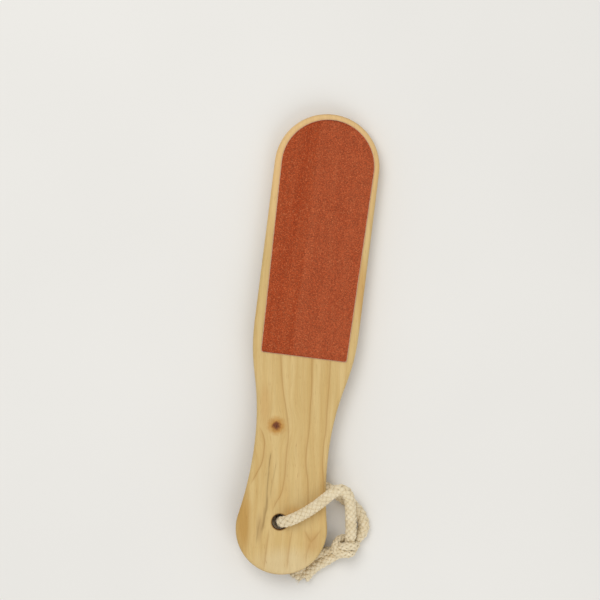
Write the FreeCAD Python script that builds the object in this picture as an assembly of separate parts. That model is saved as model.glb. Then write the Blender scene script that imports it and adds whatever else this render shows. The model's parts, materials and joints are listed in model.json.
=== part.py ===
import FreeCAD, Part
import math
import os
from FreeCAD import Placement, Rotation, Vector

# Wooden foot file: a flat pine paddle with an abrasive sheet glued on each face of its blade, and a
# braided cotton cord tied through the hole in its handle. All sizes are in millimetres.
# The file lies face up on a flat surface. The cord passes under the handle and props that end up.
# Row frame: +Y from handle to tip, +X to the right, +Z up, origin under the middle of the paddle.

# Paddle board, measured from the outer end of the handle
overall_length = 260.0
board_thickness = 9.0
blade_width = 59.0
waist_draw_in = 8.6        # how far each side of the waist lies inside the blade's side
handle_swell = 4.7         # how far each side of the handle end stands out past the waist
waist_from_end = 71.4
flare_length = 67.2        # from the waist to where the blade's sides run straight
neck_share = 0.57          # share of the flare that is hollow, before the shoulder rounds over
edge_round = 2.0
round_limit = 0.4          # largest share of the board's thickness that an edge round takes

# Hanging cord and its hole
cord_diameter = 6.5
cord_hole_gap = 1.05       # all round the cord in its hole
hole_from_end = 29.3
hole_offset = -1.5         # the hole is drilled a little to the left of the middle
hole_rim_round = 1.2
cord_board_gap = 0.35      # between the cord and the board that lies on it

# Abrasive sheet, the same on both faces
tip_margin = 3.2           # bare wood left round the blade's tip
root_margin = 5.2          # from the blade's side to the sheet's lower corners
sheet_offset = 0.4         # the sheets are glued a little to the right of the middle
sheet_from_end = 122.4
sheet_corner_round = 1.2
glue_thickness = 0.12
glue_inset = 0.6
paper_thickness = 0.4
grit_thickness = 0.45
grit_inset = 0.3

# Cord route, as offsets from the hole's centre along X and Y. The last value is the height of the
# cord's middle: over the hole's front mouth for the first list, over the surface for the others.
front_over_board = [
    (26.8, 20.9, 3.7), (22.4, 15.2, 4.0), (16.2, 9.8, 4.1), (10.2, 5.2, 4.3), (4.5, 1.6, 4.6),
    (0.2, 0.0, 0.6),
]
front_fall = [
    (41.5, -7.8, 9.8), (41.1, -3.2, 10.3), (40.5, 2.4, 11.2), (39.8, 8.4, 12.7), (39.2, 14.2, 14.8),
    (38.5, 19.4, 16.9), (35.3, 23.0, 18.5), (30.8, 23.6, 19.6),
]
rear_route = [
    (0.3, -0.5, 6.9), (-1.3, 3.5, 3.3), (-1.4, 10.2, 3.3), (3.1, 17.0, 3.3), (10.6, 21.7, 3.3),
    (19.0, 23.5, 3.3), (27.6, 23.1, 3.3), (35.1, 20.6, 3.3), (41.0, 15.9, 3.3), (45.4, 10.3, 3.3),
    (47.7, 4.4, 3.3), (47.3, -1.4, 3.3), (45.0, -5.6, 3.4), (42.4, -8.8, 3.6),
]
rear_bearing_reach = 23.5  # furthest that the rear stretch runs towards the tip under the board
inner_tail_route = [
    (34.4, -11.6, 4.4), (31.2, -13.6, 3.8), (27.2, -16.2, 3.4), (23.2, -19.2, 3.3), (19.6, -22.6, 3.3),
    (16.4, -26.0, 3.3), (13.6, -29.2, 3.3), (11.2, -32.2, 3.3),
]
outer_tail_route = [
    (36.3, -15.9, 9.3), (33.4, -18.1, 8.9), (30.3, -20.6, 8.5), (27.4, -23.6, 8.0), (24.7, -26.7, 7.4),
    (22.3, -29.8, 6.3), (20.5, -32.5, 4.9),
]
arc_share = 0.45           # of the shorter run, used up by the arc at each point of a route

# Knot: two wraps round a core
knot_height = 7.1          # of its middle over the surface
wrap_ring_radius = 4.2
wrap_radius = 2.8
knot_core_radius = 4.6
wrap_places = [(39.8, -8.6), (37.8, -13.4)]
wrap_axis = Vector(0.25, 1.0, 0.0)

# Sizes worked out from those above
half_blade = blade_width / 2
half_waist = half_blade - waist_draw_in
handle_end_radius = half_waist + handle_swell
shoulder_from_end = waist_from_end + flare_length
hole_diameter = cord_diameter + 2 * cord_hole_gap
sheet_thickness = glue_thickness + paper_thickness + grit_thickness
tip_centre = Vector(0, overall_length - half_blade, 0)


def prop_angle():
    """Tilt of the board in radians: its rear sheet's tip edge is down, and the cord holds its handle up."""
    lever = overall_length - tip_margin - grit_inset - hole_from_end - rear_bearing_reach
    height = cord_diameter + cord_board_gap
    return math.asin(height / math.hypot(sheet_thickness, lever)) - math.atan2(sheet_thickness, lever)


def rest_placement():
    """Moves the level board to its place in the row frame, tip edge down on the surface."""
    middle = Vector(0, overall_length / 2, board_thickness / 2)
    tip_edge = Vector(0, overall_length - tip_margin - grit_inset, -sheet_thickness)
    turn = Rotation(Vector(1, 0, 0), -math.degrees(prop_angle()))
    lift = -turn.multVec(tip_edge - middle).z
    return Placement(Vector(0, 0, lift), turn).multiply(Placement(middle * -1, Rotation()))


def arc_edge(centre, start, end):
    """Arc of under half a turn round a centre."""
    radius = (start - centre).Length
    outward = (start - centre) + (end - centre)
    return Part.Arc(start, centre + outward.normalize() * radius, end).toShape()


def side_edges(side):
    """One long side of the board: flank, neck, shoulder and straight blade, for side +1 or -1."""
    handle_centre = Vector(0, handle_end_radius, 0)
    rise = waist_from_end - handle_end_radius
    flank_radius = (half_waist ** 2 + rise ** 2 - handle_end_radius ** 2) / (2 * handle_swell)
    flank_centre = Vector(side * (half_waist + flank_radius), waist_from_end, 0)
    towards_flank = (flank_centre - handle_centre).normalize()
    handle_touch = handle_centre + towards_flank * handle_end_radius
    waist = Vector(side * half_waist, waist_from_end, 0)

    both_radii = (flare_length ** 2 + waist_draw_in ** 2) / (2 * waist_draw_in)
    neck_radius = neck_share * both_radii
    shoulder_radius = both_radii - neck_radius
    neck_centre = Vector(side * (half_waist + neck_radius), waist_from_end, 0)
    shoulder_centre = Vector(side * (half_blade - shoulder_radius), shoulder_from_end, 0)
    neck_end = neck_centre + (shoulder_centre - neck_centre) * neck_share
    shoulder = Vector(side * half_blade, shoulder_from_end, 0)
    blade_end = tip_centre + Vector(side * half_blade, 0, 0)
    edges = [
        arc_edge(flank_centre, handle_touch, waist),
        arc_edge(neck_centre, waist, neck_end),
        arc_edge(shoulder_centre, neck_end, shoulder),
        Part.LineSegment(shoulder, blade_end).toShape(),
    ]
    return handle_touch, edges


def board_face():
    right_touch, right_edges = side_edges(1)
    left_touch, left_edges = side_edges(-1)
    handle_end = Part.Arc(right_touch, Vector(0, 0, 0), left_touch).toShape()
    tip_side = Vector(half_blade, 0, 0)
    tip = Part.Arc(tip_centre + tip_side, Vector(0, overall_length, 0), tip_centre - tip_side).toShape()
    edges = right_edges + left_edges + [handle_end, tip]
    return Part.Face(Part.Wire(Part.__sortEdges__(edges)))


def flat_edges(solid):
    """Edges that lie in the board's front or rear face."""
    return [edge for edge in solid.Edges if edge.BoundBox.ZLength < board_thickness / 2]


def paddle_board():
    """Board with rounded edges, drilled and with the hole's rims eased."""
    board = board_face().extrude(Vector(0, 0, board_thickness))
    board = board.makeFillet(min(edge_round, round_limit * board_thickness), flat_edges(board))
    drill_start = Vector(hole_offset, hole_from_end, -board_thickness)
    board = board.cut(Part.makeCylinder(hole_diameter / 2, 3 * board_thickness, drill_start))
    rims = [edge for edge in flat_edges(board) if is_hole_rim(edge)]
    return board.makeFillet(min(hole_rim_round, round_limit * board_thickness), rims)


def is_hole_rim(edge):
    if not isinstance(edge.Curve, Part.Circle):
        return False
    centre = edge.Curve.Center
    beside = math.hypot(centre.x - hole_offset, centre.y - hole_from_end)
    return beside < edge_round / 2 and abs(edge.Curve.Radius - hole_diameter / 2) < cord_hole_gap / 2


def sheet_layer(inset, bottom, thickness):
    """One layer of an abrasive sheet: round tip, sides that draw in to a straight lower edge."""
    tip_radius = half_blade - tip_margin - inset
    corner = Vector(half_blade - root_margin - inset, sheet_from_end + inset, 0)
    from_tip = corner - tip_centre
    swing = math.atan2(from_tip.y, from_tip.x) + math.acos(tip_radius / from_tip.Length)
    touch = tip_centre + Vector(math.cos(swing), math.sin(swing), 0) * tip_radius
    top = tip_centre + Vector(0, tip_radius, 0)
    mirrored = [Vector(-point.x, point.y, 0) for point in (touch, corner)]
    edges = [
        Part.Arc(touch, top, mirrored[0]).toShape(),
        Part.LineSegment(mirrored[0], mirrored[1]).toShape(),
        Part.LineSegment(mirrored[1], corner).toShape(),
        Part.LineSegment(corner, touch).toShape(),
    ]
    face = Part.Face(Part.Wire(edges))
    face.translate(Vector(sheet_offset, 0, bottom))
    layer = face.extrude(Vector(0, 0, thickness))
    uprights = [edge for edge in layer.Edges if is_lower_corner(edge, thickness)]
    return layer.makeFillet(sheet_corner_round, uprights)


def is_lower_corner(edge, thickness):
    box = edge.BoundBox
    upright = max(box.XLength, box.YLength) < thickness / 2
    return upright and box.YMax < tip_centre.y - half_blade


def sheet(face_name):
    """Glue film, paper and grit coat on the front or the rear face of the board."""
    layers = (
        ("glue_film", glue_inset, 0.0, glue_thickness),
        ("backing_paper", 0.0, glue_thickness, paper_thickness),
        ("grit_coat", grit_inset, glue_thickness + paper_thickness, grit_thickness),
    )
    solids = {}
    for name, inset, offset, thickness in layers:
        bottom = board_thickness + offset if face_name == "front" else -offset - thickness
        solids[face_name + "_" + name] = sheet_layer(inset, bottom, thickness)
    return solids


def rounded_path(points):
    """Straight runs joined by the largest tangent arcs that the runs allow, with the arcs' radii."""
    edges = []
    radii = []
    start = points[0]
    for before, corner, after in zip(points, points[1:], points[2:]):
        back = before - corner
        ahead = after - corner
        half_turn = (math.pi - back.getAngle(ahead)) / 2
        reach = arc_share * min(back.Length, ahead.Length)
        radius = reach / math.tan(half_turn)
        into = corner + back.normalize() * reach
        out = corner + ahead.normalize() * reach
        inward = (back + ahead).normalize()
        middle = corner + inward * (radius / math.cos(half_turn) - radius)
        edges.append(Part.LineSegment(start, into).toShape())
        edges.append(Part.Arc(into, middle, out).toShape())
        radii.append(radius)
        start = out
    edges.append(Part.LineSegment(start, points[-1]).toShape())
    return Part.Wire(edges), radii


def cord_tube(name, points):
    """Round tube along a route. Prints its arcs' radii, and its volume over section times length."""
    path, radii = rounded_path(points)
    heading = points[1] - points[0]
    section = Part.Wire(Part.makeCircle(cord_diameter / 2, points[0], heading))
    tube = path.makePipeShell([section], True, False)
    expected = math.pi * cord_diameter ** 2 / 4 * path.Length
    print(name, "length", round(path.Length, 1), "volume ratio", round(tube.Volume / expected, 4))
    print(name, "radii", [round(radius, 1) for radius in radii])
    return tube


def route_points(route, hole, base_height):
    return [Vector(hole.x + across, hole.y + along, base_height + up) for across, along, up in route]


def cord_loop(rest):
    """From the knot over the front face, through the hole, under the board and back to the knot."""
    hole = rest.multVec(Vector(hole_offset, hole_from_end, board_thickness))
    points = route_points(front_fall, hole, 0)
    points += route_points(front_over_board, hole, hole.z)
    points += route_points(rear_route, hole, 0)
    return cord_tube("cord_loop", points)


def cord_tail(name, route, rest):
    hole = rest.multVec(Vector(hole_offset, hole_from_end, board_thickness))
    return cord_tube(name, route_points(route, hole, 0))


def cord_knot(rest, strands):
    """Two wraps round a core, hollowed where the loop's ends and the tails go in."""
    hole = rest.multVec(Vector(hole_offset, hole_from_end, board_thickness))
    centres = [Vector(hole.x + across, hole.y + along, knot_height) for across, along in wrap_places]
    core = Part.makeSphere(knot_core_radius, centres[0])
    core = core.fuse(Part.makeSphere(knot_core_radius, centres[1]))
    between = centres[1] - centres[0]
    core = core.fuse(Part.makeCylinder(knot_core_radius, between.Length, centres[0], between))
    for centre in centres:
        core = core.fuse(Part.makeTorus(wrap_ring_radius, wrap_radius, centre, wrap_axis))
    for strand in strands:
        core = core.cut(strand)
    return core


def build():
    rest = rest_placement()
    nodes = {"paddle_board": paddle_board()}
    nodes.update(sheet("front"))
    nodes.update(sheet("rear"))
    for solid in nodes.values():
        solid.Placement = rest.multiply(solid.Placement)
    strands = {
        "cord_loop": cord_loop(rest),
        "cord_tail_inner": cord_tail("cord_tail_inner", inner_tail_route, rest),
        "cord_tail_outer": cord_tail("cord_tail_outer", outer_tail_route, rest),
    }
    nodes.update(strands)
    nodes["cord_knot"] = cord_knot(rest, list(strands.values()))
    return nodes


os.makedirs("parts", exist_ok=True)
for node_name, node_solid in build().items():
    node_solid.exportStep("parts/" + node_name + ".step")
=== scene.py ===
"""The looks of a wooden foot file: pine paddle, two sheets of red-brown grit and a tied cotton cord.

Every piece is built in metres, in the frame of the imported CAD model, and rides on one of its bodies.
The cord's routes and the marks in the wood are written in millimetres.
"""

import json
import math

import bpy
import numpy as np
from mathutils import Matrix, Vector, geometry


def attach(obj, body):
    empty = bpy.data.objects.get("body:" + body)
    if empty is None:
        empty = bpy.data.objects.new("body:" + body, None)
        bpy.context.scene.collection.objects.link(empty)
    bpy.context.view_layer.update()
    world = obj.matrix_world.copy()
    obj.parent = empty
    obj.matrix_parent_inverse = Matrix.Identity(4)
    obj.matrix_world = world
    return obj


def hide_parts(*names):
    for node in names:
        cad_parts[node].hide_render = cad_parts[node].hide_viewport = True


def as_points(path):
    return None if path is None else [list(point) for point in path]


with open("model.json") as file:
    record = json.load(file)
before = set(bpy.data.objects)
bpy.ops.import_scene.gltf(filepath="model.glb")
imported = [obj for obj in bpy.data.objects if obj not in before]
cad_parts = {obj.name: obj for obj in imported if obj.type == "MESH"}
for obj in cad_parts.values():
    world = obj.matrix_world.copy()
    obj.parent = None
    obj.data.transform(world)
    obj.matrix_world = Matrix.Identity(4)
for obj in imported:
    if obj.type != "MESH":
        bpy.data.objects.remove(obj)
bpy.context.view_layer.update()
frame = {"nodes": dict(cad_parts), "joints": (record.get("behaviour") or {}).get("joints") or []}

MM = 0.001
FULL_TURN = 2 * math.pi

# The hole's middle and the board's directions, from the cord's joint
SWING = frame["joints"][0]
HOLE = np.array(SWING["pos_m"])
BOARD_NORMAL = np.array(SWING["axis"])
BOARD_LENGTHWISE = np.array((0.0, BOARD_NORMAL[2], -BOARD_NORMAL[1]))
BOARD_SIDEWAYS = np.array((1.0, 0.0, 0.0))
BOARD_THICKNESS = 9.0 * MM
FRONT_MOUTH = HOLE + BOARD_NORMAL * BOARD_THICKNESS / 2

# The camera looks straight down, turned so that the paddle leans as photographed
PICTURE_WIDTH = 336.4 * MM
PICTURE_MIDDLE = (-5.7 * MM, 24.1 * MM)
PICTURE_TURN = math.radians(7.2)
PICTURE_PLANE = 13.0 * MM
LENS = 135.0
SENSOR = 36.0

# The lamps face the part's middle: place, side of their square and power
KEY_LAMP = ((-0.36, 0.42, 1.05), 0.7, 5.2)
FILL_LAMP = ((0.50, -0.75, 0.80), 0.8, 3.7)
SKY_COLOUR = (1.0, 1.0, 1.0, 1.0)
SKY_STRENGTH = 0.55
FLOOR_HALF_SIDE = 4.0

# The cord: its core and the ten strands that are braided round it, five each way
CORD_STEP = 0.5 * MM
CORE_RADIUS = 1.95 * MM
CORE_SIDES = 10
STRANDS_EACH_WAY = 5
BRAID_LAY = 18.0 * MM
STRAND_RADIUS_IN_CORD = 2.25 * MM
STRAND_WEAVE = 0.52 * MM
STRAND_HALF_WIDTH = 1.12 * MM
STRAND_HALF_HEIGHT = 0.60 * MM
STRAND_SIDES = 12
YARNS = 4
YARN_RELIEF = 0.12
YARN_TWIST = 6.0 * MM
FLOOR_REST = 0.04 * MM

# The painted shade of a point on the cord, which darkens the cotton's colour: 0 deep in the braid's
# gaps, 1 on top. A strand is painted lighter towards its outer side and where it lies over the others
CORE_SHADE = 0.0
STRAND_SHADE = 0.55
OUTER_SHADE = 0.35
OVER_SHADE = 0.2
FIBRE_SHADE = 0.9

# The cord is pressed thinner in its knot and in the hole, and is painted in shade for a run from the
# hole's middle. Each change eases over a length, and the knot's starts and ends a share of that length
# early and late
KNOT_SQUEEZE = 0.73
KNOT_EASE = 9.0 * MM
KNOT_EARLY = 0.5
KNOT_LATE = 0.2
HOLE_SQUEEZE = 0.86
HOLE_EASE = 8.0 * MM
HOLE_SHADE_FRONT = 3.0 * MM
HOLE_SHADE_REAR = 8.0 * MM
HOLE_SHADE_EASE = 3.0 * MM

# The cord's two halves from the hole outwards: sideways and lengthwise from the hole, then height
# over the surface
FRONT_ROUTE = [
    (0.7, 0.2, 12.0), (0.8, 0.2, 17.4), (4.6, 1.5, 21.4), (10.2, 4.8, 20.8), (16.2, 9.2, 20.6),
    (22.2, 14.8, 20.5), (26.4, 19.4, 20.2), (30.6, 22.7, 19.6), (34.4, 22.0, 18.5),
    (37.0, 18.6, 16.9), (38.2, 13.8, 14.9), (39.3, 7.8, 12.8), (40.2, 2.0, 11.2), (40.7, -3.0, 9.8),
]
FRONT_IN_KNOT = [
    (40.6, -6.8, 7.4), (39.8, -10.6, 6.4), (38.0, -13.4, 6.0), (35.6, -15.2, 5.0),
]
OUTER_TAIL = [
    (33.0, -16.8, 4.8), (29.8, -18.7, 4.6), (26.7, -20.6, 4.3), (24.0, -22.7, 4.0),
    (21.7, -25.0, 3.8), (19.6, -27.5, 3.6), (17.8, -30.2, 3.4),
]
REAR_ROUTE = [
    (0.7, 0.2, 12.0), (0.4, 0.0, 6.9), (-3.9, 0.2, 3.3), (-5.6, 6.4, 3.3), (-2.6, 13.4, 3.3),
    (3.8, 19.0, 3.3), (11.2, 21.9, 3.3), (18.4, 22.6, 3.3), (24.6, 21.4, 3.3), (30.4, 18.7, 3.3),
    (36.2, 15.5, 3.3), (41.4, 12.5, 3.3), (45.4, 8.4, 3.3), (47.8, 3.4, 3.3), (47.4, -1.2, 3.2),
    (45.2, -4.6, 3.0),
]
REAR_IN_KNOT = [
    (41.8, -6.0, 2.7), (37.8, -5.6, 2.8), (35.0, -6.2, 4.6), (33.2, -8.4, 7.2), (32.6, -11.4, 9.2),
    (34.2, -13.6, 10.6), (37.6, -14.0, 11.0), (40.4, -13.6, 10.2), (42.2, -13.1, 7.6),
    (42.6, -12.9, 4.5), (43.2, -11.6, 3.2), (43.9, -9.8, 3.2), (44.4, -8.5, 4.5), (44.2, -8.5, 8.4),
    (42.2, -8.9, 11.2), (38.6, -9.4, 11.8), (36.2, -10.2, 10.0), (35.4, -11.4, 6.2),
    (33.4, -12.4, 4.8),
]
INNER_TAIL = [
    (30.6, -13.4, 4.6), (27.4, -14.8, 4.1), (24.2, -16.4, 3.6), (20.9, -18.6, 3.4),
    (17.8, -21.7, 3.3), (15.1, -25.7, 3.3), (12.8, -31.0, 3.3),
]
SPLINE_ORDER = 3
SPLINE_STEPS = 16

# The cut ends of the tails, where the strands open
END_SPLAY = 0.22
SPLAY_LENGTH = 6.0 * MM

# The fibres that fray there: where they start, how they lean and bend, and how they taper
FRAY_PER_STRAND = 8
FRAY_LENGTH = 2.1 * MM
SHORTEST_FRAY = 0.35
FRAY_SPREAD = 0.3
FRAY_SET_BACK = 0.5 * MM
FRAY_ALONG_CORD = 0.75
FRAY_ALONG_STRAND = 0.35
FRAY_SCATTER = 0.2
FRAY_BEND = 0.25
FIBRE_STEPS = (0.0, 0.35, 0.7, 1.0)
FIBRE_TAPER = np.array((1.0, 0.95, 0.8, 0.45))
FIBRE_RADIUS = 0.09 * MM
FIBRE_SIDES = 4
FIBRE_FLOOR = 0.25 * MM

# The sheets of grit: side, which way its face looks, size of a grain in millimetres, random seed
SHEETS = (("front", 1, 0.36, 1), ("rear", -1, 0.26, 2))

# Rows and columns of a sheet's mesh, how uneven its grains are and how ragged its rim
GRIT_ROWS = 270
GRIT_COLUMNS = 120
GRIT_END_ROW = 0.004
GRIT_HOLLOW = 0.13 * MM
GRIT_SHIFT = 0.13 * MM
RIM_HOLLOW = 0.14 * MM
RAGGED_EDGE = 0.14 * MM


def srgb(red, green, blue):
    """A colour as it is seen on a screen, from 0 to 255, as Blender's linear values."""
    shares = [c / 255 for c in (red, green, blue)]
    linear = [c / 12.92 if c <= 0.04045 else ((c + 0.055) / 1.055) ** 2.4 for c in shares]
    return (*linear, 1.0)


# Materials

class Paint:
    """Builds one material's nodes. Its places and lengths are in millimetres of the part's frame."""

    def __init__(self, name):
        self.material = bpy.data.materials.new(name)
        self.material.use_nodes = True
        self.tree = self.material.node_tree
        self.shader = self.tree.nodes["Principled BSDF"]
        self.coordinates = self.node("ShaderNodeTexCoord")
        self.point = self.scaled(self.coordinates.outputs["Object"], 1 / MM)

    def node(self, kind, inputs=(), **settings):
        """Adds a node with these settings, and fills the inputs that are given."""
        made = self.tree.nodes.new(kind)
        for name, value in settings.items():
            setattr(made, name, value)
        for name, value in dict(inputs).items():
            self.put(made.inputs[name], value)
        return made

    def put(self, socket, value):
        """Links a socket to another, or sets it to a constant."""
        if isinstance(value, bpy.types.NodeSocket):
            self.tree.links.new(value, socket)
        else:
            socket.default_value = value

    def look(self, **values):
        """Sets the shader's sockets, written with _ for a space, and returns the material."""
        for name, value in values.items():
            self.put(self.shader.inputs[name.replace("_", " ")], value)
        return self.material

    def calc(self, operation, *values):
        """The result of a sum on numbers."""
        made = self.node("ShaderNodeMath", operation=operation)
        for socket, value in zip(made.inputs, values):
            self.put(socket, value)
        return made.outputs[0]

    def product(self, first, *others):
        for other in others:
            first = self.calc("MULTIPLY", first, other)
        return first

    def vector(self, operation, first, second=(0.0, 0.0, 0.0)):
        """The node of a sum on vectors."""
        return self.node("ShaderNodeVectorMath", {0: first, 1: second}, operation=operation)

    def scaled(self, vector, factor):
        made = self.node("ShaderNodeVectorMath", {0: vector, "Scale": factor}, operation="SCALE")
        return made.outputs[0]

    def dot(self, vector, direction):
        return self.vector("DOT_PRODUCT", vector, direction).outputs["Value"]

    def join(self, x, y, z=0.0):
        return self.node("ShaderNodeCombineXYZ", {0: x, 1: y, 2: z}).outputs[0]

    def noise(self, vector, size, detail=2.0, roughness=0.5):
        """Soft noise from 0 to 1, whose blotches are about that many millimetres across."""
        made = self.node("ShaderNodeTexNoise", {
            "Vector": vector, "Scale": 1 / size, "Detail": detail, "Roughness": roughness,
        })
        return made.outputs["Fac"]

    def drawn_out(self, across, along, wide, long, detail, third=0.0):
        """Noise whose blotches are drawn out along one direction."""
        x = self.calc("DIVIDE", across, wide)
        y = self.calc("DIVIDE", along, long)
        return self.noise(self.join(x, y, third), 1.0, detail)

    def step(self, value, start, end, low=0.0, high=1.0):
        """A smooth step from low at start to high at end."""
        made = self.node("ShaderNodeMapRange", {
            "Value": value, "From Min": start, "From Max": end, "To Min": low, "To Max": high,
        }, interpolation_type="SMOOTHSTEP")
        return made.outputs[0]

    def mix(self, share, first, second, blend="MIX"):
        """The first colour with a share of the second."""
        made = self.node("ShaderNodeMix", data_type="RGBA", blend_type=blend)
        sockets = (made.inputs[0], made.inputs[6], made.inputs[7])
        for socket, value in zip(sockets, (share, first, second)):
            self.put(socket, value)
        return made.outputs[2]

    def shaded(self, colour, brightness):
        return self.mix(1.0, colour, self.join(brightness, brightness, brightness), "MULTIPLY")

    def bump(self, height, strength, depth):
        made = self.node("ShaderNodeBump", {
            "Height": height, "Strength": strength, "Distance": depth,
        })
        return made.outputs[0]


# Pine. The grain runs a few degrees off the paddle's length, and its rings slant into the board
GRAIN_TURN = math.radians(7.07)
GRAIN_ALONG = (-math.sin(GRAIN_TURN), math.cos(GRAIN_TURN), 0.0)
GRAIN_ACROSS = (math.cos(GRAIN_TURN), math.sin(GRAIN_TURN), 0.0)
GRAIN_WAVE = 7.0
RING_SLANT = 0.45
RING_WIDTH = 4.6
PALE_PINE = srgb(214, 185, 125)
DEEP_PINE = srgb(204, 172, 109)
RING_COLOUR = srgb(190, 146, 80)
RESIN_COLOUR = srgb(164, 116, 58)
END_GRAIN_COLOUR = srgb(176, 130, 76)

# Lines in the wood are curves within these places along and across the grain. Each has a sharp
# middle and a border some half widths wide, and fades out at its ends
LINE_ALONG = (-130.0, 0.0)
LINE_ACROSS = (-40.0, 30.0)
SHARP_SHARE = 0.68
SOFT_SHARE = 0.26
SOFT_HALF_WIDTHS = 3.2
LONGEST_FADE = 5.0
FADE_OUTSIDE = 0.2

# Growth lines on the handle: half width, strength, then places along and across the grain.
# The wood darkens towards each of them from the left
LATE_WOOD = 5.5
LATE_WOOD_STRENGTH = 0.7
LATE_WOOD_COLOUR = srgb(198, 160, 92)
GROWTH_LINE_COLOUR = srgb(150, 93, 18)
GROWTH_LINES = [
    (0.55, 0.43, [(-94, -18.1), (-89, -16), (-84, -13.1), (-76, -11.3), (-66, -10.4), (-59, -9.8),
                  (-52, -9), (-46, -9.1), (-40, -9.8), (-33, -10.9), (-26, -12), (-14, -13),
                  (-4, -13.4)]),
    (0.5, 0.46, [(-96, 2.0), (-84, 2.1), (-75, 1.8), (-68, 0.9), (-61, 1.0), (-53, 2), (-45, 2.8),
                 (-36, 3.2), (-27, 3.9), (-14, 4.1), (-2, 4)]),
    (0.5, 0.42, [(-86, 10.8), (-75, 10.5), (-68, 10.1), (-61, 10.4), (-55, 10.9), (-49, 11.9),
                 (-38, 12.5), (-29, 13.2), (-19, 14), (-4, 14.6)]),
    (0.5, 0.50, [(-79, -30.5), (-72, -26.5), (-66, -23.7), (-59, -22.6), (-53, -22.6),
                 (-46, -25.6)]),
    (0.6, 0.36, [(-127, -22.7), (-115, -21.2), (-103, -19.6)]),
    (0.6, 0.34, [(-127, -9.7), (-117, -8.8), (-111, -8), (-102.5, -6.4)]),
    (0.9, 0.34, [(-111.5, 4.4), (-110, 3.4), (-107.5, 1.9), (-103.5, 0.2)]),
    (0.9, 0.34, [(-111.5, 3.4), (-110, 4.5), (-107.5, 6.6), (-103.5, 9.4)]),
    (0.8, 0.26, [(-123, 0.8), (-117, 1.5), (-113, 2.7), (-109.5, 3.9)]),
]

# Dark streaks beside the hole, written the same way
STREAK_COLOUR = srgb(118, 84, 32)
DARK_STREAKS = [
    (0.40, 0.75, [(-71, -20.1), (-68, -19.7), (-64, -19.2), (-60, -18.6)]),
    (0.60, 0.56, [(-106, -23.8), (-100, -22.6), (-89, -21.2), (-81, -20.7), (-74, -20.2),
                  (-68, -19.6)]),
    (0.45, 0.50, [(-96, -21.9), (-92, -20.9), (-88, -20.6), (-84, -20.4)]),
    (0.45, 0.30, [(-87, -19.3), (-79, -18.2), (-71, -16.6), (-64, -15.6)]),
    (0.50, 0.34, [(-113, -27.0), (-106, -26.2), (-102, -25.5), (-97, -24.4)]),
    (0.45, 0.46, [(-106, -24.6), (-101, -23.3), (-96, -22.6), (-90, -22.4)]),
]

# One branch knot: its place along and across the grain, the radii of its heart and halo, how far
# from it the grain parts, and how strongly
BRANCH_ALONG, BRANCH_ACROSS = -45.8, -15.8
BRANCH_HEART, BRANCH_HALO = 2.8, 6.6
BRANCH_WOBBLE = 2.6
BRANCH_PARTS = (1.0, 17.0)
BRANCH_PARTING = 0.55
BRANCH_HALO_COLOUR = srgb(180, 120, 28)
BRANCH_HEART_COLOUR = srgb(106, 44, 8)
BRANCH_SPOT_COLOUR = srgb(66, 30, 14)

# The hole's painted shade: distances from its middle over which the rim's and the wall's dark tint
# fade
HOLE_RIM_SHADE = (4.3, 5.4)
HOLE_WALL_SHADE = (4.6, 5.9)
HOLE_RIM_SHADE_COLOUR = srgb(146, 96, 46)
HOLE_WALL_SHADE_COLOUR = srgb(112, 64, 24)

# Tinted patches: colour, strength, middle along and across, half size along and across
WOOD_PATCHES = [
    (srgb(182, 138, 64), 0.85, -100.0, -34.0, 26.0, 5.6),
    (srgb(190, 150, 84), 0.35, -92.0, -31.0, 7.0, 2.6),
    (srgb(205, 160, 86), 0.60, -95.0, -6.4, 7.0, 7.0),
    (srgb(204, 164, 96), 0.35, -86.0, -12.0, 14.0, 5.0),
    (srgb(158, 120, 72), 0.34, -103.0, -25.2, 12.0, 2.6),
    (srgb(188, 142, 82), 0.40, -111.0, 4.6, 9.0, 6.0),
    (srgb(206, 164, 94), 0.30, -84.0, 10.5, 26.0, 4.6),
    (srgb(198, 152, 86), 0.40, -34.0, -22.0, 18.0, 4.0),
    (srgb(218, 197, 152), 0.60, -123.0, -10.0, 13.0, 24.0),
    (srgb(234, 192, 134), 0.60, 118.0, 0.0, 75.0, 95.0),
    (srgb(200, 150, 80), 0.45, 28.0, 34.0, 26.0, 10.0),
]


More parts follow.
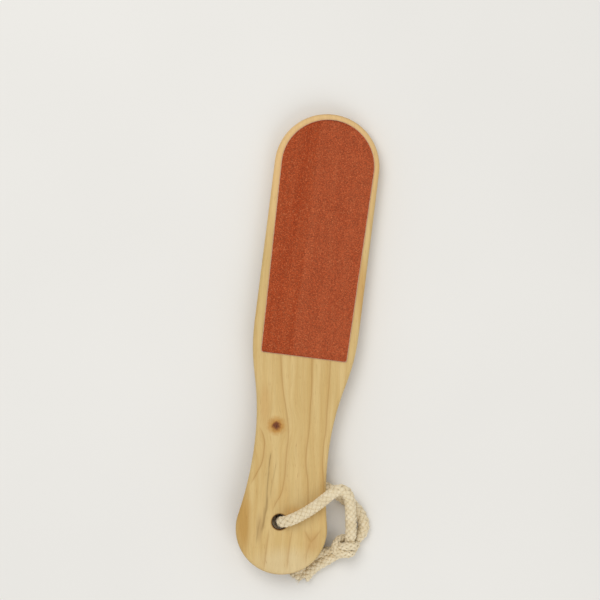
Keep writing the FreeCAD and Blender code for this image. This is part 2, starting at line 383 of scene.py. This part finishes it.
class Pine(Paint):
    """Pale sanded pine, tinted in layers by places along and across the grain and in the depth."""

    def __init__(self):
        super().__init__("pine")
        front = float(FRONT_MOUTH @ BOARD_NORMAL) / MM
        self.depth = self.calc("SUBTRACT", front, self.dot(self.point, tuple(BOARD_NORMAL)))
        self.along = self.dot(self.point, GRAIN_ALONG)
        flat = self.dot(self.point, GRAIN_ACROSS)
        self.across = self.calc("MULTIPLY_ADD", self.depth, RING_SLANT, flat)
        beside_branch = self.calc("SUBTRACT", self.across, BRANCH_ACROSS)
        past_branch = self.calc("SUBTRACT", self.along, BRANCH_ALONG)
        self.from_branch = self.distance(past_branch, beside_branch)
        parting = self.step(self.from_branch, *BRANCH_PARTS, low=BRANCH_PARTING, high=0.0)
        parted = self.calc("SUBTRACT", self.across, self.product(beside_branch, parting))
        waves = self.streaks(self.across, wide=9.0, long=46.0, detail=2.0)
        self.wavy = self.calc("MULTIPLY_ADD", waves, GRAIN_WAVE, parted)
        self.fibre = self.streaks(self.wavy, wide=0.34, long=11.0, detail=3.0, third=self.depth)
        tone = self.streaks(self.wavy, wide=5.0, long=60.0, detail=3.0)
        self.colour = self.mix(self.step(tone, 0.3, 0.7), PALE_PINE, DEEP_PINE)

    def streaks(self, across, wide, long, detail, third=0.0):
        """Noise that is drawn out along the grain."""
        return self.drawn_out(across, self.along, wide, long, detail, third)

    def distance(self, first, second):
        second_squared = self.calc("MULTIPLY", second, second)
        return self.calc("SQRT", self.calc("MULTIPLY_ADD", first, first, second_squared))

    def tint(self, share, colour):
        """Lays a share of another colour over the wood."""
        self.colour = self.mix(share, self.colour, colour)

    def faint_rings(self):
        """Rings everywhere, sharp on their late side. Returns how late the wood is."""
        ring = self.calc("FRACT", self.calc("DIVIDE", self.wavy, RING_WIDTH))
        rising = self.step(ring, 0.35, 0.93)
        late = self.product(rising, self.step(ring, 0.93, 1.0, low=1.0, high=0.0))
        self.tint(self.calc("MULTIPLY", late, 0.18), RING_COLOUR)
        return late

    def resin_canals(self):
        """Short thin dashes along the grain."""
        third = self.calc("MULTIPLY", self.depth, 3.0)
        dashes = self.streaks(self.wavy, wide=0.22, long=5.0, detail=1.0, third=third)
        self.tint(self.step(dashes, 0.64, 0.76, high=0.5), RESIN_COLOUR)

    def patch(self, tint, strength, middle_along, middle_across, half_along, half_across):
        """A soft oval of another tint."""
        a = self.calc("DIVIDE", self.calc("SUBTRACT", self.along, middle_along), half_along)
        c = self.calc("DIVIDE", self.calc("SUBTRACT", self.across, middle_across), half_across)
        self.tint(self.step(self.distance(a, c), 0.25, 1.0, low=strength, high=0.0), tint)

    def curve_across(self, points):
        """The place across the grain of a line through these points, for each place along it."""
        low, high = LINE_ALONG
        left, right = LINE_ACROSS
        curve = self.node("ShaderNodeFloatCurve", {
            "Value": self.calc("DIVIDE", self.calc("SUBTRACT", self.along, low), high - low),
        })
        places = [((a - low) / (high - low), (c - left) / (right - left)) for a, c in points]
        line = curve.mapping.curves[0]
        line.points[0].location = places[0]
        line.points[1].location = places[-1]
        for place in places[1:-1]:
            line.points.new(*place)
        curve.mapping.update()
        return self.calc("MULTIPLY_ADD", curve.outputs[0], right - left, left)

    def from_line(self, points):
        """How far right of a line each place is, and from 0 to 1 whether the line runs there."""
        start, end = points[0][0], points[-1][0]
        fade = min(LONGEST_FADE, (end - start) / 3)
        outside = FADE_OUTSIDE * fade
        starts = self.step(self.along, start - outside, start + fade)
        ends = self.step(self.along, end - fade, end + outside, low=1.0, high=0.0)
        offset = self.calc("SUBTRACT", self.across, self.curve_across(points))
        return offset, self.product(starts, ends)

    def line(self, half_width, strength, points, colour, late=0.0):
        """A thin line with a soft border, broken by the fibres, and late wood on its left."""
        offset, there = self.from_line(points)
        away = self.calc("ABSOLUTE", offset)
        soft_width = half_width * SOFT_HALF_WIDTHS
        sharp = self.step(away, 0.0, half_width, low=strength * SHARP_SHARE, high=0.0)
        soft = self.step(away, 0.0, soft_width, low=strength * SOFT_SHARE, high=0.0)
        breaks = self.product(self.step(self.fibre, 0.2, 0.6, low=0.7), there)
        if late:
            rising = self.step(offset, -LATE_WOOD, 0.0, high=late)
            left_of_line = self.step(offset, -0.2, 0.5, low=1.0, high=0.0)
            self.tint(self.product(rising, left_of_line, there), LATE_WOOD_COLOUR)
        self.tint(self.product(self.calc("ADD", sharp, soft), breaks), colour)

    def branch_knot(self):
        """One small branch knot with a resinous halo and a dark, uneven heart."""
        place = self.join(self.across, self.along, self.depth)
        uneven = self.calc("SUBTRACT", self.noise(place, size=1.6, detail=3.0), 0.5)
        radius = self.calc("MULTIPLY_ADD", uneven, BRANCH_WOBBLE, self.from_branch)
        halo = self.step(radius, BRANCH_HEART * 0.7, BRANCH_HALO, low=0.85, high=0.0)
        heart = self.step(radius, BRANCH_HEART * 0.4, BRANCH_HEART * 1.15, low=0.92, high=0.0)
        spots = self.step(self.noise(place, size=0.9, detail=2.0), 0.52, 0.62)
        middle = self.step(self.from_branch, 0.8, 2.0, low=0.8, high=0.0)
        self.tint(halo, BRANCH_HALO_COLOUR)
        self.tint(heart, BRANCH_HEART_COLOUR)
        self.tint(self.product(spots, middle), BRANCH_SPOT_COLOUR)

    def end_grain(self):
        """The tip and the handle's end are darker and pored."""
        normal = self.coordinates.outputs["Normal"]
        facing = self.calc("ABSOLUTE", self.dot(normal, tuple(BOARD_LENGTHWISE)))
        place = self.join(self.across, self.depth, self.calc("DIVIDE", self.along, 8.0))
        pores = self.step(self.noise(place, size=0.5, detail=3.0), 0.35, 0.65, low=0.25, high=0.6)
        self.tint(self.product(self.step(facing, 0.55, 0.98), pores), END_GRAIN_COLOUR)

    def drilled_hole(self):
        """Paints dark brown shade on the hole's wall from just inside its mouth, and a little on its
        rim.
        """
        from_hole = self.vector("SUBTRACT", self.point, tuple(HOLE / MM)).outputs[0]
        outward = self.vector("CROSS_PRODUCT", from_hole, tuple(BOARD_NORMAL)).outputs[0]
        radius = self.vector("LENGTH", outward).outputs["Value"]
        # Painted shade in the hole and on its rim
        rim = self.step(radius, *HOLE_RIM_SHADE, low=0.30, high=0.0)
        wall = self.step(radius, *HOLE_WALL_SHADE, low=0.72, high=0.0)
        self.tint(rim, HOLE_RIM_SHADE_COLOUR)
        self.tint(self.product(wall, self.step(self.depth, 0.0, 0.6)), HOLE_WALL_SHADE_COLOUR)


def pine():
    """The paddle's wood: growth lines, streaks, a branch knot, tinted patches and painted shade in its
    hole.
    """
    wood = Pine()
    late = wood.faint_rings()
    for patch in WOOD_PATCHES:
        wood.patch(*patch)
    for half_width, strength, points in GROWTH_LINES:
        late_strength = LATE_WOOD_STRENGTH * strength
        wood.line(half_width, strength, points, GROWTH_LINE_COLOUR, late_strength)
    for half_width, strength, points in DARK_STREAKS:
        wood.line(half_width, strength, points, STREAK_COLOUR)
    wood.branch_knot()
    wood.resin_canals()
    brightness = wood.calc("MULTIPLY_ADD", wood.fibre, 0.3, 0.86)
    wood.colour = wood.shaded(wood.colour, brightness)
    wood.end_grain()
    wood.drilled_hole()
    grooves = wood.calc("SUBTRACT", wood.fibre, wood.calc("MULTIPLY", late, 0.3))
    return wood.look(
        Base_Color=wood.colour, Specular_IOR_Level=0.35,
        Roughness=wood.step(wood.fibre, 0.2, 0.8, low=0.62, high=0.5),
        Normal=wood.bump(grooves, strength=0.25, depth=0.12 * MM),
    )


# The grit's two shades, and what is laid over them. The sheet turns paler towards the right
# between two places sideways
GRIT_SHADES = (srgb(159, 66, 31), srgb(167, 75, 39))
PALER_FROM_TO = (-8.0, -4.5)
PALER_COLOUR = srgb(178, 92, 58)
SCRATCH_COLOUR = srgb(196, 112, 74)
CLOUD_COLOUR = srgb(154, 62, 28)
CLUMP_COLOUR = srgb(198, 112, 70)


def grit(name, grain_size):
    """Red-brown mineral grains in resin, with faint streaks where the sheet was coated."""
    paint = Paint(name)
    x = paint.dot(paint.point, (1.0, 0.0, 0.0))
    y = paint.dot(paint.point, (0.0, 1.0, 0.0))
    streak = paint.drawn_out(x, y, wide=5.0, long=120.0, detail=3.0)
    scratch = paint.drawn_out(x, y, wide=0.8, long=40.0, detail=2.0)
    cloud = paint.noise(paint.point, size=9.0, detail=3.0)
    clump = paint.noise(paint.point, size=0.75, detail=2.0)
    grains = paint.node("ShaderNodeTexVoronoi", {"Vector": paint.point, "Scale": 1 / grain_size})
    shade = paint.node("ShaderNodeSeparateColor", {0: grains.outputs["Color"]}).outputs[0]
    colour = paint.mix(paint.step(streak, 0.35, 0.65), *GRIT_SHADES)
    colour = paint.mix(paint.step(x, *PALER_FROM_TO, high=0.35), colour, PALER_COLOUR)
    colour = paint.mix(paint.step(scratch, 0.55, 0.75, high=0.12), colour, SCRATCH_COLOUR)
    colour = paint.mix(paint.step(cloud, 0.4, 0.75, high=0.25), colour, CLOUD_COLOUR)
    colour = paint.mix(paint.step(clump, 0.5, 0.72, high=0.6), colour, CLUMP_COLOUR)
    speckle = paint.calc("MULTIPLY_ADD", shade, 0.7, 0.63)
    height = paint.calc("SUBTRACT", shade, grains.outputs["Distance"])
    return paint.look(
        Base_Color=paint.shaded(colour, speckle), Specular_IOR_Level=0.15,
        Roughness=paint.step(shade, 0.0, 1.0, low=0.78, high=0.95),
        Normal=paint.bump(height, strength=0.5, depth=0.5 * grain_size * MM),
    )


def paper():
    """The sheets' backing paper, of which only the cut edge shows."""
    paint = Paint("backing_paper")
    fibres = paint.noise(paint.point, size=0.6, detail=4.0, roughness=0.7)
    colour = paint.mix(paint.step(fibres, 0.3, 0.7), srgb(214, 180, 148), srgb(190, 148, 116))
    bump = paint.bump(fibres, strength=0.3, depth=0.1 * MM)
    return paint.look(Base_Color=colour, Roughness=0.8, Normal=bump)


def glue():
    """A dried amber film of glue, of which only a thin rim shows."""
    paint = Paint("glue_film")
    runs = paint.noise(paint.point, size=2.5, detail=3.0)
    colour = paint.mix(paint.step(runs, 0.3, 0.7), srgb(206, 170, 112), srgb(186, 142, 84))
    roughness = paint.step(runs, 0.2, 0.8, low=0.25, high=0.45)
    bump = paint.bump(runs, strength=0.2, depth=0.1 * MM)
    return paint.look(Base_Color=colour, Roughness=roughness, Normal=bump)


def cotton():
    """Undyed cotton yarn, cream with small uneven tints, and painted dark shade in the braid's gaps.
    """
    paint = Paint("cotton")
    blotch = paint.noise(paint.point, size=5.0, detail=3.0)
    fuzz = paint.noise(paint.point, size=0.35, detail=4.0, roughness=0.65)
    shade = paint.node("ShaderNodeAttribute", attribute_name="shade").outputs["Fac"]
    colour = paint.mix(paint.step(blotch, 0.3, 0.7), srgb(239, 225, 194), srgb(227, 210, 174))
    thin = paint.step(fuzz, 0.35, 0.6, low=0.18, high=0.0)
    colour = paint.mix(thin, colour, srgb(190, 164, 122))
    # Painted shade: the colour turns brown, in patches, where the cord's shade value is low
    shade_patches = paint.step(paint.noise(paint.point, size=2.2, detail=2.0), 0.4, 0.6, low=0.35)
    painted_gap_shade = paint.product(paint.step(shade, 0.05, 0.6, low=0.8, high=0.0), shade_patches)
    colour = paint.mix(painted_gap_shade, colour, srgb(126, 100, 64))
    return paint.look(
        Base_Color=colour, Roughness=0.9, Specular_IOR_Level=0.15,
        Sheen_Weight=0.25, Sheen_Roughness=0.5,
        Normal=paint.bump(fuzz, strength=0.3, depth=0.15 * MM),
    )


def floor_paint():
    """A plain pale floor with a hardly visible unevenness."""
    paint = Paint("pale_floor")
    cloud = paint.noise(paint.point, size=140.0, detail=2.0)
    colour = paint.mix(cloud, srgb(238, 236, 231), srgb(232, 230, 225))
    return paint.look(Base_Color=colour, Roughness=0.85, Specular_IOR_Level=0.1)


# Meshes

def new_piece(name, vertices, faces, material, smooth=True):
    """A mesh object of one material, shaded smooth or flat."""
    mesh = bpy.data.meshes.new(name)
    mesh.from_pydata([tuple(v) for v in vertices], [], faces)
    mesh.materials.append(material)
    mesh.polygons.foreach_set("use_smooth", [smooth] * len(mesh.polygons))
    mesh.validate()
    piece = bpy.data.objects.new(name, mesh)
    bpy.context.scene.collection.objects.link(piece)
    return piece


# The sheets of grit

def sheet_shape(node):
    """A sheet's outline, sideways and lengthwise on the board, and the heights of its two faces."""
    plate = frame["nodes"][node]
    corners = np.array([plate.matrix_world @ v.co for v in plate.data.vertices])
    flat = np.column_stack((corners @ BOARD_SIDEWAYS, corners @ BOARD_LENGTHWISE))
    heights = corners @ BOARD_NORMAL
    outline = flat[geometry.convex_hull_2d([Vector(p) for p in flat])]
    return outline, heights.min(), heights.max()


def outline_limits(outline, lengths):
    """An outline's left and right limits at places along the board."""
    level = 1e-9
    left = np.full(len(lengths), np.inf)
    right = np.full(len(lengths), -np.inf)
    for (x0, y0), (x1, y1) in zip(outline, np.roll(outline, -1, axis=0)):
        if abs(y1 - y0) < level:
            continue
        share = (lengths - y0) / (y1 - y0)
        x = x0 + share * (x1 - x0)
        inside = (share >= 0) & (share <= 1)
        left = np.where(inside, np.minimum(left, x), left)
        right = np.where(inside, np.maximum(right, x), right)
    return left, right


def around_grid(rows, columns):
    """The numbers of a grid's outer points, once round."""
    first = list(range(columns))
    right = [row * columns + columns - 1 for row in range(1, rows)]
    last = [(rows - 1) * columns + column for column in range(columns - 2, -1, -1)]
    left = [row * columns for row in range(rows - 2, 0, -1)]
    return first + right + last + left


def grid_faces(rows, columns):
    """The four-cornered faces between a grid's points."""
    return [
        (a, a + 1, a + columns + 1, a + columns)
        for row in range(rows - 1)
        for a in range(row * columns, row * columns + columns - 1)
    ]


def grit_points(outline, face, outward, random):
    """The grid of a sheet's uneven face. Its outer points lie deeper and draw back a little."""
    start, end = outline[:, 1].min(), outline[:, 1].max()
    turns = np.linspace(GRIT_END_ROW, 1 - GRIT_END_ROW, GRIT_ROWS) * math.pi
    lengths = (start + end) / 2 - np.cos(turns) * (end - start) / 2
    left, right = outline_limits(outline, lengths)
    shares = np.linspace(0.0, 1.0, GRIT_COLUMNS)
    x = left[:, None] + (right - left)[:, None] * shares
    y = np.broadcast_to(lengths[:, None], x.shape)
    rim = np.ones(x.shape)
    rim[1:-1, 1:-1] = 0.0
    narrow = ((right - left) / (right - left).max())[:, None]
    x = x + (1 - rim) * GRIT_SHIFT * narrow * random.uniform(-1, 1, x.shape)
    x = x + rim * RAGGED_EDGE * narrow * random.uniform(0, 1, x.shape) * np.sign(0.5 - shares)
    hollow = GRIT_HOLLOW * random.uniform(0, 1, x.shape) + rim * RIM_HOLLOW
    return np.stack((x, y, face - outward * hollow), axis=-1).reshape(-1, 3)


def grit_sheet(name, node, outward, material, seed):
    """A sheet of grit in its CAD node's place: an uneven face, a ragged rim and a flat back."""
    outline, low, high = sheet_shape(node)
    face, back = (high, low) if outward > 0 else (low, high)
    points = grit_points(outline, face, outward, np.random.default_rng(seed))
    ring = around_grid(GRIT_ROWS, GRIT_COLUMNS)
    under = list(range(len(points), len(points) + len(ring)))
    below = points[ring]
    below[:, 2] = back
    faces = grid_faces(GRIT_ROWS, GRIT_COLUMNS)
    for a in range(len(ring)):
        b = (a + 1) % len(ring)
        faces.append((ring[a], under[a], under[b], ring[b]))
    faces.append(tuple(reversed(under)))
    if outward < 0:
        faces = [tuple(reversed(corners)) for corners in faces]
    axes = np.stack((BOARD_SIDEWAYS, BOARD_LENGTHWISE, BOARD_NORMAL))
    piece = new_piece(name, np.vstack((points, below)) @ axes, faces, material, smooth=False)
    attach(piece, "paddle")
    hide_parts(node)


# The cord

def lengths_along(points):
    """The distance run at each point of a line."""
    steps = np.linalg.norm(np.diff(points, axis=0), axis=1)
    return np.concatenate(([0.0], np.cumsum(steps)))


def run_near(points, place):
    """How far along a line its nearest point to a place lies."""
    away = np.linalg.norm(points - np.array(place), axis=1)
    return lengths_along(points)[np.argmin(away)]


def route_in_metres(points):
    """A route's points in metres of the part's frame."""
    return [(HOLE[0] + x * MM, FRONT_MOUTH[1] + y * MM, z * MM) for x, y, z in points]


def spline_points(name, route):
    """Points along the NURBS spline that has the route's points as its control points."""
    curve = bpy.data.curves.new(name, "CURVE")
    curve.dimensions = "3D"
    curve.resolution_u = SPLINE_STEPS
    spline = curve.splines.new("NURBS")
    spline.points.add(len(route) - 1)
    for point, place in zip(spline.points, route):
        point.co = (*place, 1.0)
    spline.order_u = SPLINE_ORDER
    spline.use_endpoint_u = True
    carrier = bpy.data.objects.new(name, curve)
    bpy.context.scene.collection.objects.link(carrier)
    bpy.context.view_layer.update()
    line = bpy.data.meshes.new_from_object(carrier)
    points = np.array([v.co for v in line.vertices])
    bpy.data.objects.remove(carrier)
    bpy.data.curves.remove(curve)
    bpy.data.meshes.remove(line)
    return points


def steady_frames(points):
    """Two directions across a line at each point, carried along it without twist."""
    slanting = (0.31, 0.87, 0.38)
    tangents = np.gradient(points, axis=0)
    tangents /= np.linalg.norm(tangents, axis=1)[:, None]
    side = np.cross(tangents[0], slanting)
    sides = []
    for tangent in tangents:
        side = side - tangent * (side @ tangent)
        side = side / np.linalg.norm(side)
        sides.append(side)
    sides = np.array(sides)
    return sides, np.cross(tangents, sides)


def tube_faces(rings, sides, first):
    """The side faces of a tube whose rings follow each other, and its two end faces."""
    faces = []
    for ring in range(rings - 1):
        a = first + ring * sides
        for i in range(sides):
            j = (i + 1) % sides
            faces.append((a + i, a + j, a + sides + j, a + sides + i))
    last = first + (rings - 1) * sides
    faces.append(tuple(range(first + sides - 1, first - 1, -1)))
    faces.append(tuple(range(last, last + sides)))
    return faces


def smooth_step(share):
    """A smooth step from 0 to 1."""
    share = np.clip(share, 0, 1)
    return share * share * (3 - 2 * share)


def angles_around(count):
    return np.linspace(0.0, FULL_TURN, count, endpoint=False)


class CordMesh:
    """Collects the core, the strands and the frayed fibres of one cord, and each point's shade."""

    def __init__(self, points, squeeze, shaded_run):
        run = lengths_along(points)
        self.run = np.linspace(0.0, run[-1], int(run[-1] / CORD_STEP))
        self.line = np.column_stack([np.interp(self.run, run, points[:, k]) for k in range(3)])
        self.sides, self.ups = steady_frames(self.line)
        self.squeeze = squeeze(self.run)
        # Painted shade: the strands are darkest for this run from the hole's middle, then ease to full
        # light
        self.clean = smooth_step((self.run - shaded_run) / HOLE_SHADE_EASE)
        opened = np.clip(1 - (run[-1] - self.run) / SPLAY_LENGTH, 0, 1)
        self.splay = 1 + END_SPLAY * opened**2
        self.strand_ends = []
        self.vertices = []
        self.faces = []
        self.shades = []

    def tube(self, rings, shades):
        """Adds a closed tube of these rings of points. It lies flat where it meets the floor."""
        count, sides, _ = rings.shape
        rings[..., 2] = np.maximum(rings[..., 2], FLOOR_REST)
        self.faces += tube_faces(count, sides, len(self.vertices))
        self.vertices += list(rings.reshape(-1, 3))
        self.shades += list(np.broadcast_to(shades, (count, sides)).reshape(-1))

    def around(self, angle):
        """The direction out of the cord at an angle that may differ from step to step."""
        return np.cos(angle)[:, None] * self.sides + np.sin(angle)[:, None] * self.ups

    def core(self):
        """The filling that the strands lie on, which shows only deep in the gaps, painted in the
        darkest shade.
        """
        radius = (CORE_RADIUS * self.squeeze)[:, None]
        self.tube(np.stack([
            self.line + radius * self.around(np.full(len(self.run), t))
            for t in angles_around(CORE_SIDES)
        ], axis=1), CORE_SHADE)

    def strand(self, way, number):
        """One flat strand that winds one way round the cord, over and under those of the other."""
        turned = FULL_TURN * self.run / BRAID_LAY
        out = self.around(way * turned + number * FULL_TURN / STRANDS_EACH_WAY)
        over = way * np.cos(STRANDS_EACH_WAY * turned)
        radius = self.squeeze * self.splay * (STRAND_RADIUS_IN_CORD + STRAND_WEAVE * over)
        middle = self.line + radius[:, None] * out
        forward = np.gradient(middle, axis=0)
        forward /= np.linalg.norm(forward, axis=1)[:, None]
        across = np.cross(forward, out)
        across /= np.linalg.norm(across, axis=1)[:, None]
        yarn_turn = FULL_TURN * self.run / YARN_TWIST
        rings = []
        shades = []
        for t in angles_around(STRAND_SIDES):
            relief = self.squeeze * (1 + YARN_RELIEF * np.cos(YARNS * (t - yarn_turn)))
            rings.append(
                middle
                + (relief * STRAND_HALF_WIDTH * math.cos(t))[:, None] * across
                + (relief * STRAND_HALF_HEIGHT * math.sin(t))[:, None] * out
            )
            # Painted shade: the strand is lit more on its outer side and where it lies over the others
            lit = np.clip(STRAND_SHADE + OUTER_SHADE * math.sin(t) + OVER_SHADE * over, 0, 1)
            shades.append(self.clean * lit)
        self.tube(np.stack(rings, axis=1), np.stack(shades, axis=1))
        self.strand_ends.append((middle[-1], forward[-1]))

    def fray(self, random):
        """Loose fibres that spread from the cut ends of the strands."""
        ahead = self.line[-1] - self.line[-3]
        ahead /= np.linalg.norm(ahead)
        for end, forward in self.strand_ends:
            straight = FRAY_ALONG_CORD * ahead + FRAY_ALONG_STRAND * forward
            for _ in range(FRAY_PER_STRAND):
                root = end + random.normal(0, FRAY_SPREAD, 3) * MM - ahead * FRAY_SET_BACK
                reach = FRAY_LENGTH * random.uniform(SHORTEST_FRAY, 1.0)
                lean = straight + random.normal(0, FRAY_SCATTER, 3)
                bend = random.normal(0, FRAY_BEND, 3)
                self.fibre([root + (lean * s + bend * s * s) * reach for s in FIBRE_STEPS])

    def fibre(self, places):
        """One thin fibre along these places, kept off the floor."""
        spine = np.array(places)
        spine[:, 2] = np.maximum(spine[:, 2], FIBRE_FLOOR)
        sides, ups = steady_frames(spine)
        radius = FIBRE_TAPER[:, None] * FIBRE_RADIUS
        self.tube(np.stack([
            spine + radius * (math.cos(t) * sides + math.sin(t) * ups)
            for t in angles_around(FIBRE_SIDES)
        ], axis=1), FIBRE_SHADE)


def squeeze_between(start, end):
    """The cord's thickness by its run: less in the hole and in the knot between two lengths."""
    def squeeze(run):
        begun = smooth_step((run - start) / KNOT_EASE + KNOT_EARLY)
        ended = smooth_step((run - end) / KNOT_EASE - KNOT_LATE)
        in_knot = begun * (1 - ended)
        in_hole = 1 - smooth_step(run / HOLE_EASE)
        return (1 - (1 - KNOT_SQUEEZE) * in_knot) * (1 - (1 - HOLE_SQUEEZE) * in_hole)

    return squeeze


def braided_cord(name, route, in_knot, tail, shaded_run, material, seed):
    """One half of the hanging cord, from the hole through the knot to its frayed tail."""
    points = spline_points(name, route_in_metres(route + in_knot + tail))
    start, end = (run_near(points, place) for place in route_in_metres([in_knot[0], in_knot[-1]]))
    made = CordMesh(points, squeeze_between(start, end), shaded_run)
    made.core()
    for way in (1, -1):
        for number in range(STRANDS_EACH_WAY):
            made.strand(way, number)
    made.fray(np.random.default_rng(seed))
    piece = new_piece(name, made.vertices, made.faces, material)
    # Each point's painted shade, which the cotton material turns into colour
    shade = piece.data.attributes.new("shade", "FLOAT", "POINT")
    shade.data.foreach_set("value", np.array(made.shades, dtype=np.float32))
    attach(piece, "hanging_cord")
    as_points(made.line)
    return piece


def hanging_cord(material):
    """The cord as two halves, which meet in the hole and hold each other in the knot."""
    front = braided_cord(
        "hanging_cord_front", FRONT_ROUTE, FRONT_IN_KNOT, OUTER_TAIL,
        HOLE_SHADE_FRONT, material, seed=3,
    )
    rear = braided_cord(
        "hanging_cord_rear", REAR_ROUTE, REAR_IN_KNOT, INNER_TAIL,
        HOLE_SHADE_REAR, material, seed=4,
    )
    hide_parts("cord_loop", "cord_tail_outer")
    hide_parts("cord_knot", "cord_tail_inner")


# Stage, lights and camera

def floor():
    half = FLOOR_HALF_SIDE
    corners = [(-half, -half, 0), (half, -half, 0), (half, half, 0), (-half, half, 0)]
    piece = new_piece("floor", corners, [(0, 1, 2, 3)], floor_paint())


def soft_lamp(name, place, size, power):
    """A square lamp that faces the part's middle and isn't seen itself."""
    data = bpy.data.lights.new(name, "AREA")
    data.size = size
    data.energy = power
    lamp = bpy.data.objects.new(name, data)
    bpy.context.scene.collection.objects.link(lamp)
    lamp.visible_camera = False
    lamp.location = place
    lamp.rotation_euler = (-Vector(place)).to_track_quat("-Z", "Y").to_euler()


def studio_light():
    """A key lamp, a weaker fill lamp opposite and even light from all round."""
    soft_lamp("key", *KEY_LAMP)
    soft_lamp("fill", *FILL_LAMP)
    world = bpy.data.worlds.new("studio")
    bpy.context.scene.world = world
    world.use_nodes = True
    sky = world.node_tree.nodes["Background"]
    sky.inputs["Color"].default_value = SKY_COLOUR
    sky.inputs["Strength"].default_value = SKY_STRENGTH


def camera():
    """A long lens, so far up that the picture has its width at the height of its plane."""
    data = bpy.data.cameras.new("camera")
    data.lens = LENS
    data.sensor_width = SENSOR
    made = bpy.data.objects.new("camera", data)
    bpy.context.scene.collection.objects.link(made)
    made.location = (*PICTURE_MIDDLE, PICTURE_PLANE + PICTURE_WIDTH * LENS / SENSOR)
    made.rotation_euler = (0.0, 0.0, PICTURE_TURN)
    bpy.context.scene.camera = made


def dress(node, material):
    """Gives a CAD node its material."""
    mesh = frame["nodes"][node].data
    mesh.materials.clear()
    mesh.materials.append(material)


def main():
    bpy.context.scene.view_settings.view_transform = "Standard"
    camera()
    floor()
    studio_light()
    hanging_cord(cotton())
    dress("paddle_board", pine())
    for side, outward, grain_size, seed in SHEETS:
        name = f"{side}_grit"
        dress(f"{side}_glue_film", glue())
        dress(f"{side}_backing_paper", paper())
        grit_sheet(name, f"{side}_grit_coat", outward, grit(name, grain_size), seed)


main()
